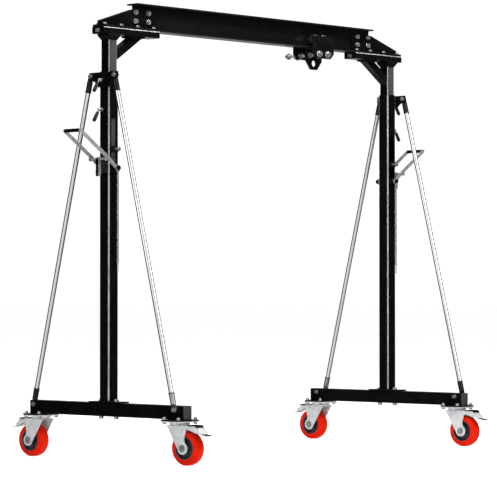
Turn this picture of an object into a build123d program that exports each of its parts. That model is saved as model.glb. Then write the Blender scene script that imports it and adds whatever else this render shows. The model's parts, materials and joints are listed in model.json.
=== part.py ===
from build123d import *
import os
from math import atan2, cos, degrees, hypot, radians, sin

os.makedirs("parts", exist_ok=True)

# Frame of reference: X runs along the I-beam, Y across it (front is -Y), Z is up.
# The origin is on the floor, under the middle of the beam. "Outboard" is away from the middle.

# ---------------------------------------------------------------- driving dimensions, millimetres
i_beam_length = 1640
beam_end_inboard = 145      # end of the I-beam, inboard of the mast's middle
i_beam_height = 120
i_beam_flange = 70
i_beam_flange_wall = 7
i_beam_web = 5

outer_mast_size = 60
outer_mast_wall = 4
outer_mast_corner = 6       # outside corner radius
outer_mast_length = 1464
inner_mast_size = 50
inner_mast_wall = 3
inner_mast_bottom = 300     # height of its lower end above the floor, at rest
inner_mast_show = 142.5     # bare length above the outer mast, up to the collar
hole_pitch = 75
hole_count = 13

head_length = 350           # head channel
head_outboard = 68          # how far it reaches outboard of the mast's middle
head_width = 76
head_height = 30
head_wall = 4
head_corner_radius = 4
packer_gap = 1
collar_height = 15
collar_growth = 11
mast_top_plate = 7

gusset_wall = 5
gusset_end_height = 22
gusset_full_height = 85
gusset_slope_end = 132
gusset_end_gap = 2          # gusset stops this short of the head channel's outboard end
web_bolt_inboard = (157, 238)
web_bolt_height = (34, 74)
web_bolt_radius = 6
flange_bolt_inboard = (-48, 54, 156, 258)
flange_bolt_y = 23
flange_bolt_radius = 5
stop_bolt_radius = 5

knee_size = 38
knee_wall = 2.5
knee_angle = 34
knee_foot_height = 72       # middle of its lower end above the outer mast's top
knee_plate = 7
knee_plate_length = 92

base_length = 970
base_width = 50
base_height = 61
base_wall = 3
foot_plate_length = 190
foot_plate_width = 66
foot_plate_wall = 6
foot_bolt_y = 48
foot_bolt_radius = 6

mount_plate_x = 126
mount_plate_y = 110
mount_plate_wall = 6
castor_inset = 45           # swivel axis, from the end of the base beam
castor_turn = 5             # how far the castors stand turned at rest, degrees
castor_bolt_x = 52
castor_bolt_y = 43
castor_bolt_radius = 5
castor_plate_wall = 5
raceway_radius = 44
raceway_height = 11
raceway_gap = 0.5
king_pin_radius = 8
trail = 45
wheel_radius = 75
wheel_half_width = 28
core_radius = 50
fork_clear = 7              # side of the tread to the inner face of a fork leg
fork_wall = 5
crown_height = 99           # crown's top above the axle
leg_eye_radius = 26
axle_radius = 6
pedal_pivot_out = 60        # pedal pivot, from the swivel axis along the trail
pedal_pivot_up = 88         # pedal pivot above the axle
pedal_pin_radius = 4
pedal_width = 46
pedal_wall = 4

ear_height = 72
ear_top_half_width = 90
ear_top_drop = 4
ear_corner_drop = 33
ear_waist_half_width = 56
ear_waist_drop = 46
ear_wall = 6
brace_top_y = 75
brace_top_drop = 20         # brace's upper bolt below the outer mast's top
brace_foot_inset = 40       # brace's lower bolt, from the end of the base beam
brace_foot_drop = 18        # brace's lower bolt below the base beam's top
brace_bolt_radius = 5
brace_lug_radius = 13
brace_radius = 11
brace_wall = 2
sleeve_radius = 13
sleeve_length = 48
tongue_wall = 6
tongue_length = 24

clamp_drop = (40, 171)      # clamp screws below the outer mast's top
clamp_radius = 6
clamp_boss_radius = 13
clamp_boss_length = 12
clamp_out = 62
clamp_handle_out = 30
clamp_handle_down = 50
clamp_handle_radius = 6.5

window_width = 30
window_top_drop = 209
window_height = 239
lock_pin_drop = 346
lock_pin_radius = 6
lock_pin_travel = 20
lock_pin_head = 6
strap_wall = 8
strap_height = 26
strap_width = 44

lever_drop = 430            # lever pivot below the outer mast's top
lever_arm_y = 50            # middle of each arm
lever_arm_wall = 4
lever_arm_width = 17
lever_knee = (56, 45)       # bend of the arms, outboard and up from the pivot
lever_end = (222, 158)      # cross bar
dog_pin = (66, 39)
lever_pin_radius = 6
cross_bar_radius = 5
grip_radius = 8
dog_size = 16
dog_length = 86
dog_top = 9
dog_pad_wall = 4
dog_pad_width = 36
dog_pad_height = 70
dog_pad_up = 13             # middle of the pad above the lever's pivot
lever_eye_radius = 10.5
lever_nut = 6
chain_y = 57
chain_ring_radius = 12
chain_wire = 1.3
link_length = 24
link_width = 9.6
link_count = 21             # odd, so that the clip's eye crosses the last link
link_gap = 0.1
clip_eye_radius = 6
clip_leg_spread = 5
clip_length = 42

trolley_x = 410             # where the trolley stands at rest
side_plate_length = 154
side_plate_height = 108
side_plate_wall = 6
side_plate_cut = 24         # cut of its lower corners
side_plate_rise = 22        # its top above the roller pins
side_plate_y = 64           # outer face of each side plate
roller_spacing = 62
roller_radius = 27
roller_flange_radius = 30.5
roller_pin_radius = 7
roller_hub_radius = 14
roller_flange_wall = 6
roller_tread_width = 18
roller_flange_gap = 3       # flange edge to the roller's flange
spreader_radius = 8
spreader_drop = 32          # spreader axles below the beam
spreader_spare = 86         # bare thread beyond the rear side plate
hanger_wall = 8
hanger_top_width = 115
hanger_bottom_width = 47
hanger_depth = 70           # spreader axles to the hanger's lower edge
hanger_rise = 20            # spreader axles to its top edge
hanger_shoulder = 28        # spreader axles down to where it narrows
eye_radius = 15
eye_drop = 40               # spreader axles to the eye

running = 0.05              # radial clearance of a running fit
loose = 0.5                 # radial clearance of a bolt hole
slip = 0.3                  # gap between pieces that move past each other

# ---------------------------------------------------------------- levels and places worked out
mast_x = i_beam_length / 2 + beam_end_inboard
castor_y = base_length / 2 - castor_inset
brace_foot_y = base_length / 2 - brace_foot_inset
axle_z = wheel_radius
crown_top = axle_z + crown_height
raceway_bottom = crown_top + raceway_gap
castor_plate_bottom = raceway_bottom + raceway_height
castor_top = castor_plate_bottom + castor_plate_wall
base_bottom = castor_top + mount_plate_wall
base_top = base_bottom + base_height
outer_mast_bottom = base_top + foot_plate_wall
outer_mast_top = outer_mast_bottom + outer_mast_length
collar_bottom = outer_mast_top + inner_mast_show
mast_plate_bottom = collar_bottom + collar_height
head_bottom = mast_plate_bottom + mast_top_plate
head_top = head_bottom + head_height
flange_top = head_top + i_beam_flange_wall
beam_top = head_top + i_beam_height
head_inboard = head_length - head_outboard
gusset_outboard = head_outboard - gusset_end_gap
mast_half = outer_mast_size / 2
ear_face = mast_half + ear_wall
brace_plane = ear_face + tongue_wall / 2
lever_z = outer_mast_top - lever_drop
lock_pin_z = outer_mast_top - lock_pin_drop
strap_face = mast_half + strap_wall
spreader_z = head_top - spreader_drop
hub_half = wheel_half_width + fork_clear - slip
leg_inside = wheel_half_width + fork_clear
collar_size = inner_mast_size + 2 * collar_growth

BASE = (Align.CENTER, Align.CENTER, Align.MIN)
TOP = (Align.CENTER, Align.CENTER, Align.MAX)
SIDES = {"left": -1, "right": 1}
ENDS = {"front": -1, "rear": 1}


# ---------------------------------------------------------------- shapes used again and again
def facing(origin, direction):
    """A place whose local Z points along direction."""
    return Plane(origin=origin, z_dir=direction).location


def rod(origin, direction, radius, length, mode=Mode.ADD):
    with Locations(facing(origin, direction)):
        Cylinder(radius, length, align=BASE, mode=mode)


def hex_prism(origin, direction, radius, height):
    """A bolt head or nut for a shank of the given radius, standing on origin."""
    with BuildSketch(Plane(origin=origin, z_dir=direction)) as outline:
        RegularPolygon(1.6 * radius, 6, major_radius=False)
    extrude(outline.sketch, amount=height)


def fastener(head_at, direction, radius, grip, end=4):
    """A bolt with its washers and nut. It clamps what lies between head_at and grip beyond it."""
    start = Vector(*head_at)
    along = Vector(*direction).normalized()
    washer = 0.3 * radius
    head = 1.3 * radius
    nut = 1.6 * radius
    rod(start - along * washer, along, radius, grip + 2 * washer + nut + end)
    rod(start - along * washer, along, 2 * radius, washer)
    rod(start + along * grip, along, 2 * radius, washer)
    hex_prism(start - along * (washer + head), along, radius, head)
    hex_prism(start + along * (grip + washer), along, radius, nut)


def finish(piece, name):
    """Label a piece and write its STEP file."""
    piece.part.label = name
    export_step(piece.part, f"parts/{name}.step")


# ---------------------------------------------------------------- end frames
def out_x(side, outboard):
    """X of a point that lies outboard of the mast's middle."""
    return side * (mast_x + outboard)


def brace_ends(side, end):
    """Upper and lower bolt of one brace."""
    upper = Vector(out_x(side, brace_plane), end * brace_top_y, outer_mast_top - brace_top_drop)
    lower = Vector(out_x(side, brace_plane), end * brace_foot_y, base_top - brace_foot_drop)
    return upper, lower


def make_base_beam(name, side):
    middle = (base_bottom + base_top) / 2
    with BuildPart() as beam:
        with Locations((out_x(side, 0), 0, middle)):
            Box(base_width, base_length, base_height)
            fillet(beam.edges().filter_by(Axis.Y), 2 * base_wall)
            Box(base_width - 2 * base_wall, base_length - 2 * base_wall,
                base_height - 2 * base_wall, mode=Mode.SUBTRACT)
        for end in ENDS.values():
            with Locations((out_x(side, 0), end * castor_y, base_bottom)):
                Box(mount_plate_x, mount_plate_y, mount_plate_wall, align=TOP)
            lug = (out_x(side, base_width / 2 - base_wall), end * brace_foot_y, base_top - brace_foot_drop)
            rod(lug, (side, 0, 0), brace_lug_radius, ear_face - base_width / 2 + base_wall)
            rod((out_x(side, -base_width), lug[1], lug[2]), (side, 0, 0),
                brace_bolt_radius + loose, 2 * base_width, Mode.SUBTRACT)
            with Locations((out_x(side, 0), end * castor_y, castor_top)):
                with GridLocations(2 * castor_bolt_x, 2 * castor_bolt_y, 2, 2):
                    Cylinder(castor_bolt_radius + loose, 3 * mount_plate_wall, mode=Mode.SUBTRACT)
            with Locations((out_x(side, 0), end * foot_bolt_y, middle)):
                Cylinder(foot_bolt_radius + loose, 2 * base_height, mode=Mode.SUBTRACT)
    finish(beam, f"{name}_base_beam")


def make_outer_mast(name, side):
    x = out_x(side, 0)
    outward = (side, 0, 0)
    with BuildPart() as mast:
        with Locations((x, 0, outer_mast_bottom)):
            Box(outer_mast_size, outer_mast_size, outer_mast_length, align=BASE)
            fillet(mast.edges().filter_by(Axis.Z), outer_mast_corner)
        with Locations((x, 0, base_top)):
            Box(foot_plate_width, foot_plate_length, foot_plate_wall, align=BASE)
        # ear plate for the braces, wide at the top
        ear_bottom = outer_mast_top - ear_height
        ear_side = Plane(origin=(out_x(side, mast_half), 0, 0), x_dir=(0, 1, 0), z_dir=outward)
        with BuildSketch(ear_side) as ear:
            rise = outward[0]
            Polygon(
                (-mast_half, rise * ear_bottom), (mast_half, rise * ear_bottom),
                (ear_waist_half_width, rise * (outer_mast_top - ear_waist_drop)),
                (ear_top_half_width, rise * (outer_mast_top - ear_corner_drop)),
                (ear_top_half_width, rise * (outer_mast_top - ear_top_drop)),
                (-ear_top_half_width, rise * (outer_mast_top - ear_top_drop)),
                (-ear_top_half_width, rise * (outer_mast_top - ear_corner_drop)),
                (-ear_waist_half_width, rise * (outer_mast_top - ear_waist_drop)), align=None)
        extrude(ear.sketch, amount=ear_wall)
        # pad behind the climbing dog
        with Locations((out_x(side, mast_half + dog_pad_wall / 2), 0, lever_z + dog_pad_up)):
            Box(dog_pad_wall, dog_pad_width, dog_pad_height)
        # clamp screw bosses
        for drop in clamp_drop:
            face = ear_face if drop < ear_height else mast_half
            rod((out_x(side, mast_half), 0, outer_mast_top - drop), outward,
                clamp_boss_radius, face - mast_half + clamp_boss_length)
        # lock pin strap in front; lever bosses, spacers and stub pins front and rear
        with Locations((x, -mast_half, lock_pin_z)):
            Box(strap_width, strap_wall, strap_height, align=(Align.CENTER, Align.MAX, Align.CENTER))
        for end in ENDS.values():
            near = (Align.CENTER, Align.MAX if end < 0 else Align.MIN, Align.CENTER)
            with Locations((x, end * mast_half, lever_z)):
                Box(strap_width, strap_wall, strap_height + 4, align=near)
            pin_at = (x, end * mast_half, lever_z)
            arm_inside = lever_arm_y - lever_arm_wall / 2
            nut_at = chain_y + 2 * chain_wire
            rod(pin_at, (0, end, 0), 1.5 * lever_pin_radius, arm_inside - slip - mast_half)
            rod(pin_at, (0, end, 0), lever_pin_radius, nut_at - mast_half + lever_nut + 1)
            hex_prism((x, end * nut_at, lever_z), (0, end, 0), lever_pin_radius, lever_nut)
        # hollow, window and holes
        with Locations((x, 0, outer_mast_bottom)):
            Box(outer_mast_size - 2 * outer_mast_wall, outer_mast_size - 2 * outer_mast_wall,
                outer_mast_length, align=BASE, mode=Mode.SUBTRACT)
        with Locations((x, -mast_half + outer_mast_wall / 2, outer_mast_top - window_top_drop)):
            Box(window_width, outer_mast_wall, window_height, align=TOP, mode=Mode.SUBTRACT)
        rod((x, -strap_face, lock_pin_z), (0, 1, 0), lock_pin_radius + running, strap_wall, Mode.SUBTRACT)
        for drop in clamp_drop:
            rod((x, 0, outer_mast_top - drop), outward, clamp_radius + running,
                ear_face + clamp_boss_length, Mode.SUBTRACT)
        for end in ENDS.values():
            upper, _ = brace_ends(side, end)
            rod((x, upper.Y, upper.Z), outward, brace_bolt_radius + loose, 2 * ear_face, Mode.SUBTRACT)
            with Locations((x, end * foot_bolt_y, base_top)):
                Cylinder(foot_bolt_radius + loose, foot_plate_wall, align=BASE, mode=Mode.SUBTRACT)
    finish(mast, f"{name}_outer_mast")


def make_braces(name, side):
    with BuildPart() as tubes:
        for end in ENDS.values():
            upper, lower = brace_ends(side, end)
            run = (lower - upper).normalized()
            length = (lower - upper).length - 2 * tongue_length
            place = facing(upper + run * tongue_length, run)
            with Locations(place):
                Cylinder(brace_radius, length, align=BASE)
                Cylinder(brace_radius - brace_wall, length, align=BASE, mode=Mode.SUBTRACT)
    finish(tubes, f"{name}_brace_tubes")

    with BuildPart() as sleeves:
        for end in ENDS.values():
            upper, lower = brace_ends(side, end)
            for pin, other in ((upper, lower), (lower, upper)):
                run = (other - pin).normalized()
                flat = Plane(origin=pin, x_dir=run, z_dir=(side, 0, 0))
                with BuildSketch(flat.offset(-tongue_wall / 2)) as tongue:
                    with Locations((tongue_length / 2, 0)):
                        Rectangle(tongue_length, 2 * sleeve_radius)
                    Circle(sleeve_radius)
                extrude(tongue.sketch, amount=tongue_wall)
                with Locations(facing(pin + run * (tongue_length - slip), run)):
                    Cylinder(sleeve_radius, sleeve_length, align=BASE)
                with Locations(facing(pin + run * tongue_length, run)):
                    Cylinder(brace_radius, sleeve_length, align=BASE, mode=Mode.SUBTRACT)
                rod(pin - Vector(side * tongue_wall, 0, 0), (side, 0, 0), brace_bolt_radius + loose,
                    2 * tongue_wall, Mode.SUBTRACT)
    finish(sleeves, f"{name}_brace_sleeves")


def make_frame_bolts(name, side):
    x = out_x(side, 0)
    face = ear_face + tongue_wall
    with BuildPart() as bolts:
        for end in ENDS.values():
            upper, lower = brace_ends(side, end)
            fastener((out_x(side, face), upper.Y, upper.Z), (-side, 0, 0), brace_bolt_radius,
                     tongue_wall + ear_wall)
            fastener((out_x(side, face), lower.Y, lower.Z), (-side, 0, 0), brace_bolt_radius,
                     face + base_width / 2)
            fastener((x, end * foot_bolt_y, outer_mast_bottom), (0, 0, -1), foot_bolt_radius,
                     foot_plate_wall + base_height, end=1)
            for across in (-castor_bolt_x, castor_bolt_x):
                for away in (-castor_bolt_y, castor_bolt_y):
                    fastener((x + across, end * castor_y + away, castor_plate_bottom), (0, 0, 1),
                             castor_bolt_radius, castor_plate_wall + mount_plate_wall, end=3)
    finish(bolts, f"{name}_frame_bolts")


# ---------------------------------------------------------------- castors
def castor_plane(side, end):
    """Frame on the swivel axis at axle height: X out along the trail, Z up, Y across the wheel."""
    heading = radians(90 * end + castor_turn)
    return Plane(origin=(out_x(side, 0), end * castor_y, axle_z),
                 x_dir=(cos(heading), sin(heading), 0), z_dir=(0, 0, 1))


def make_castor_plates(name, side):
    with BuildPart() as plates:
        for end in ENDS.values():
            with Locations((out_x(side, 0), end * castor_y, castor_plate_bottom)):
                Box(mount_plate_x, mount_plate_y, castor_plate_wall, align=BASE)
                Cylinder(raceway_radius, raceway_height, align=TOP)
                Cylinder(king_pin_radius + running, 3 * raceway_height, mode=Mode.SUBTRACT)
                with GridLocations(2 * castor_bolt_x, 2 * castor_bolt_y, 2, 2):
                    Cylinder(castor_bolt_radius + loose, 3 * castor_plate_wall,
                             mode=Mode.SUBTRACT)
        corners = plates.edges().filter_by(Axis.Z).filter_by(lambda e: e.length < castor_plate_wall + 1)
        outer = [e for e in corners if e.geom_type == GeomType.LINE]
        fillet(outer, 8)
        rims = plates.edges().filter_by(GeomType.CIRCLE).group_by(Axis.Z)[0]
        chamfer([e for e in rims if e.radius > king_pin_radius * 2], 3)
    finish(plates, f"{name}_castor_plates")


def make_fork(name, frame):
    """Swivel fork with its king pin and the ears that hold the pedal."""
    side_plane = Plane(origin=frame.origin, x_dir=frame.x_dir, z_dir=-frame.y_dir)
    crown_under = crown_height - fork_wall
    with BuildPart() as fork:
        with BuildSketch(frame.offset(crown_under)) as crown:
            with Locations((12, 0)):
                RectangleRounded(110, 2 * (leg_inside + fork_wall), 10)
        extrude(crown.sketch, amount=fork_wall)
        rod(frame.origin + Vector(0, 0, crown_under), (0, 0, 1), king_pin_radius,
            castor_top - 1 - axle_z - crown_under)
        for start in (leg_inside, -leg_inside - fork_wall):
            with BuildSketch(side_plane.offset(start)) as leg:
                Polygon((-43, crown_height - 1), (66, crown_height - 1), (64, 78), (54, 42), (60, 12),
                        (trail, 0), (20, -6), align=None)
                with Locations((trail, 0)):
                    Circle(leg_eye_radius)
            extrude(leg.sketch, amount=fork_wall)
            # ear that holds the pedal's pin
            with BuildSketch(side_plane.offset(start)) as ear:
                with Locations((pedal_pivot_out + 2, pedal_pivot_up)):
                    Circle(9)
                    Rectangle(24, 10)
            extrude(ear.sketch, amount=fork_wall)
        across = 2 * (leg_inside + 2 * fork_wall)
        middle = frame.origin + frame.x_dir * trail
        pivot = frame.origin + frame.x_dir * pedal_pivot_out + Vector(0, 0, pedal_pivot_up)
        rod(middle - frame.y_dir * across / 2, frame.y_dir, axle_radius + 0.1, across, Mode.SUBTRACT)
        rod(pivot - frame.y_dir * across / 2, frame.y_dir, pedal_pin_radius + running, across,
            Mode.SUBTRACT)
        # room over the tread and under the crown for the pedal
        with Locations(Location(frame) * Location((pedal_pivot_out + 14, 0, pedal_pivot_up + 6))):
            Box(44, 2 * leg_inside, 30, mode=Mode.SUBTRACT)
    finish(fork, f"{name}_fork")


def make_wheel_axle(name, frame):
    half = leg_inside + fork_wall
    head_at = frame.origin + frame.x_dir * trail + frame.y_dir * half
    with BuildPart() as axle:
        fastener(tuple(head_at), tuple(-frame.y_dir), axle_radius, 2 * half, end=1)
    finish(axle, f"{name}_axle")


def make_wheel(name, frame):
    middle = frame.origin + frame.x_dir * trail
    section = Plane(origin=middle, x_dir=frame.y_dir, z_dir=frame.x_dir)
    spin = Axis(tuple(middle), tuple(frame.y_dir))
    rim_half = wheel_half_width - 1
    bore = axle_radius + running
    with BuildPart() as core:
        with BuildSketch(section) as profile:
            for low, high, half in ((bore, 18, hub_half), (17, core_radius - 5, 5),
                                    (core_radius - 6, core_radius, rim_half)):
                with Locations((0, (low + high) / 2)):
                    Rectangle(2 * half, high - low)
        revolve(profile.sketch, axis=spin)
    finish(core, f"{name}_core")

    with BuildPart() as tread:
        with BuildSketch(section) as profile:
            with Locations((0, (core_radius + wheel_radius) / 2)):
                Rectangle(2 * wheel_half_width, wheel_radius - core_radius)
            crown = profile.vertices().group_by(Axis(tuple(middle), (0, 0, 1)))[-1]
            fillet(crown, 9)
        revolve(profile.sketch, axis=spin)
    finish(tread, f"{name}_tread")


def make_pedal(name, frame):
    """Brake pedal: a bent plate on a pin, with a shoe over the tread."""
    side_plane = Plane(origin=frame.origin, x_dir=frame.x_dir, z_dir=-frame.y_dir)
    pivot = frame.origin + frame.x_dir * pedal_pivot_out + Vector(0, 0, pedal_pivot_up)
    half = leg_inside + fork_wall
    arm_half = leg_inside - 1
    top = pedal_pivot_up + 7
    with BuildPart() as pedal:
        with BuildSketch(side_plane.offset(-pedal_width / 2)) as bent:
            with BuildLine():
                FilletPolyline((pedal_pivot_out - 3, top), (104, top), (134, 60), (160, 56), radius=6)
                offset(amount=pedal_wall / 2, side=Side.BOTH)
            make_face()
        extrude(bent.sketch, amount=pedal_width)
        for start in (arm_half - 4, -arm_half):
            with BuildSketch(side_plane.offset(start)) as cheek:
                Polygon((pedal_pivot_out - 7, pedal_pivot_up - 6), (pedal_pivot_out + 9, pedal_pivot_up - 6),
                        (118, 66), (128, 68), (104, top), (pedal_pivot_out - 7, top), align=None)
            extrude(cheek.sketch, amount=4)
        rod(pivot - frame.y_dir * half, frame.y_dir, pedal_pin_radius, 2 * half)
        with BuildSketch(side_plane.offset(-arm_half)) as shoe:
            with Locations((pedal_pivot_out, pedal_pivot_up - 1)):
                Rectangle(12, 14)
        extrude(shoe.sketch, amount=2 * arm_half)
    finish(pedal, f"{name}_pedal")


# ---------------------------------------------------------------- lifting lever and small gear
def lever_plane(side):
    """Frame on the lever's pivot: X outboard, Y up, looking along the pivot."""
    return Plane(origin=(out_x(side, 0), 0, lever_z), x_dir=(side, 0, 0), z_dir=(0, -side, 0))


def make_lever(name, side):
    plane = lever_plane(side)
    arm_out = lever_arm_y + lever_arm_wall / 2

    def across(point, radius):
        rod((out_x(side, point[0]), -arm_out, lever_z + point[1]), (0, 1, 0), radius, 2 * arm_out)

    with BuildPart() as lever:
        for start in (-arm_out, arm_out - lever_arm_wall):
            with BuildSketch(plane.offset(start)) as arm:
                for a, b in (((0, 0), lever_knee), (lever_knee, lever_end)):
                    run = Vector(b[0] - a[0], b[1] - a[1])
                    with Locations(Location((a[0] + run.X / 2, a[1] + run.Y / 2),
                                            degrees(atan2(run.Y, run.X)))):
                        Rectangle(run.length, lever_arm_width)
                for point, radius in (((0, 0), lever_eye_radius), (lever_knee, lever_arm_width / 2),
                                      (dog_pin, lever_eye_radius), (lever_end, lever_arm_width / 2)):
                    with Locations(point):
                        Circle(radius)
                Circle(lever_pin_radius + running, mode=Mode.SUBTRACT)
            extrude(arm.sketch, amount=lever_arm_wall)
        across(lever_end, cross_bar_radius)
        across(dog_pin, cross_bar_radius)
    finish(lever, f"{name}_lever")

    with BuildPart() as grip:
        length = 2 * (lever_arm_y - lever_arm_wall / 2)
        with Locations(facing((out_x(side, lever_end[0]), 0, lever_z + lever_end[1]), (0, 1, 0))):
            Cylinder(grip_radius, length)
            fillet(grip.edges().filter_by(GeomType.CIRCLE), 2)
            Cylinder(cross_bar_radius, length, mode=Mode.SUBTRACT)
    finish(grip, f"{name}_lever_grip")

    with BuildPart() as dog:
        pin_z = lever_z + dog_pin[1]
        with Locations((out_x(side, dog_pin[0]), 0, pin_z + dog_top)):
            Box(dog_size, dog_size, dog_length, align=TOP)
            fillet(dog.edges().filter_by(Axis.Y).group_by(Axis.Z)[-1], dog_top - 2)
            chamfer(dog.edges().filter_by(Axis.Y).group_by(Axis.Z)[0], 3)
        rod((out_x(side, dog_pin[0]), 0, lever_z - 18), (side, 0, 0), 5, dog_size / 2 + 5)
        rod((out_x(side, dog_pin[0]), -dog_size, pin_z), (0, 1, 0), cross_bar_radius + running,
            2 * dog_size, Mode.SUBTRACT)
    finish(dog, f"{name}_climbing_dog")


def make_lock_pin(name, side):
    tip = inner_mast_size / 2 + 1.5
    head_at = strap_face + lock_pin_travel + 2
    with BuildPart() as pin:
        rod((out_x(side, 0), -tip, lock_pin_z), (0, -1, 0), lock_pin_radius, head_at - tip)
        chamfer(pin.edges().group_by(Axis.Y)[-1], 1.5)
        rod((out_x(side, 0), -head_at, lock_pin_z), (0, -1, 0), 1.7 * lock_pin_radius, lock_pin_head)
        fillet(pin.edges().group_by(Axis.Y)[0], 2)
    finish(pin, f"{name}_lock_pin")


def make_clamp(name, side, z, face):
    start = Vector(out_x(side, clamp_out), 0, z)
    run = Vector(side * clamp_handle_out, 0, -clamp_handle_down)
    tip = inner_mast_size / 2 + 0.6
    with BuildPart() as clamp:
        rod((out_x(side, tip), 0, z), (side, 0, 0), clamp_radius, clamp_out - tip)
        rod((out_x(side, face + clamp_boss_length + 1), 0, z), (side, 0, 0), 1.5 * clamp_radius, 4)
        with Locations(start):
            Sphere(clamp_handle_radius)
        rod(start, run, 4, run.length * 0.4)
        rod(start + run * 0.25, run, clamp_handle_radius, run.length * 0.75)
        with Locations(start + run):
            Sphere(clamp_handle_radius)
    finish(clamp, name)


def make_chain(name, side):
    """A ring on the lever's pivot, links turned a quarter from one to the next, and a hairpin clip."""
    x = out_x(side, 0)
    ring_z = lever_z - (chain_ring_radius - chain_wire - lever_pin_radius - slip)
    pitch = link_length - 4 * chain_wire - 2 * link_gap
    top_link_z = ring_z - chain_ring_radius + 3 * chain_wire + link_gap - link_length / 2
    clip_top = top_link_z - link_count * pitch + link_length / 2 - chain_wire

    clip_eye_z = clip_top - clip_eye_radius
    with BuildPart() as link:
        Box(2 * chain_wire, link_width, link_length)
        Box(2 * chain_wire, link_width - 4 * chain_wire, link_length - 4 * chain_wire,
            mode=Mode.SUBTRACT)
    with BuildPart() as chain:
        for centre_z, radius in ((ring_z, chain_ring_radius), (clip_eye_z, clip_eye_radius)):
            with Locations(facing((x, -chain_y, centre_z), (0, 1, 0))):
                Cylinder(radius + chain_wire, 2 * chain_wire)
                Cylinder(radius - chain_wire, 2 * chain_wire, mode=Mode.SUBTRACT)
        for shift in (-clip_leg_spread / 2, clip_leg_spread / 2):
            rod((x + shift, -chain_y, clip_eye_z - clip_eye_radius), (0, 0, -1), chain_wire, clip_length)
        places = [Location((x, -chain_y, top_link_z - index * pitch), (0, 0, 90 * (index % 2)))
                  for index in range(link_count)]
        with Locations(*places):
            add(link.part)
    finish(chain, f"{name}_safety_chain")


for frame_name, frame_side in SIDES.items():
    make_base_beam(frame_name, frame_side)
    make_outer_mast(frame_name, frame_side)
    make_braces(frame_name, frame_side)
    make_frame_bolts(frame_name, frame_side)
    make_castor_plates(frame_name, frame_side)
    for end_name, end_side in ENDS.items():
        castor = castor_plane(frame_side, end_side)
        make_fork(f"{frame_name}_{end_name}_castor", castor)
        make_wheel(f"{frame_name}_{end_name}_wheel", castor)
        make_wheel_axle(f"{frame_name}_{end_name}_wheel", castor)
        make_pedal(f"{frame_name}_{end_name}_castor", castor)
    make_lever(frame_name, frame_side)
    make_lock_pin(frame_name, frame_side)
    make_clamp(f"{frame_name}_upper_clamp", frame_side, outer_mast_top - clamp_drop[0], ear_face)
    make_clamp(f"{frame_name}_lower_clamp", frame_side, outer_mast_top - clamp_drop[1], mast_half)
    make_chain(frame_name, frame_side)

# ---------------------------------------------------------------- beam and what is bolted to it
with BuildPart() as i_beam:
    with Locations((0, 0, head_top)):
        Box(i_beam_length, i_beam_flange, i_beam_flange_wall, align=BASE)
    with Locations((0, 0, beam_top)):
        Box(i_beam_length, i_beam_flange, i_beam_flange_wall, align=TOP)
    with Locations((0, 0, (head_top + beam_top) / 2)):
        Box(i_beam_length, i_beam_web, i_beam_height - i_beam_flange_wall)
    roots = i_beam.edges().filter_by(Axis.X).filter_by_position(Axis.Y, -i_beam_web, i_beam_web)
    fillet(roots, 1.5)
    for frame_side in SIDES.values():
        for inboard in web_bolt_inboard:
            for up in web_bolt_height:
                rod((out_x(frame_side, -inboard), -2 * i_beam_web, flange_top + up), (0, 1, 0),
                    web_bolt_radius + loose, 4 * i_beam_web, Mode.SUBTRACT)
        for inboard in flange_bolt_inboard:
            if inboard > beam_end_inboard:
                for across in (-flange_bolt_y, flange_bolt_y):
                    with Locations((out_x(frame_side, -inboard), across, head_top)):
                        Cylinder(flange_bolt_radius + loose, 4 * i_beam_flange_wall,
                                 mode=Mode.SUBTRACT)
finish(i_beam, "i_beam")

with BuildPart() as inner_masts:
    for frame_side in SIDES.values():
        with Locations((out_x(frame_side, 0), 0, inner_mast_bottom)):
            Box(inner_mast_size, inner_mast_size, mast_plate_bottom - inner_mast_bottom, align=BASE)
    fillet(inner_masts.edges().filter_by(Axis.Z), inner_mast_wall)
    for frame_side in SIDES.values():
        x = out_x(frame_side, 0)
        with Locations((x, 0, inner_mast_bottom)):
            hollow = inner_mast_size - 2 * inner_mast_wall
            Box(hollow, hollow, mast_plate_bottom - inner_mast_bottom, align=BASE, mode=Mode.SUBTRACT)
        with BuildSketch(Plane.XY.offset(collar_bottom)):
            with Locations((x, 0)):
                Rectangle(inner_mast_size + 2, inner_mast_size + 2)
                Rectangle(inner_mast_size - 2, inner_mast_size - 2, mode=Mode.SUBTRACT)
        extrude(amount=collar_height, taper=-degrees(atan2(collar_growth - 1, collar_height)))
        with Locations((x, 0, mast_plate_bottom)):
            Box(collar_size, collar_size, mast_top_plate, align=BASE)
        for index in range(hole_count):
            rod((x, -inner_mast_size, lock_pin_z - index * hole_pitch), (0, 1, 0),
                lock_pin_radius + loose, 2 * inner_mast_size, Mode.SUBTRACT)
finish(inner_masts, "inner_masts")

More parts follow.
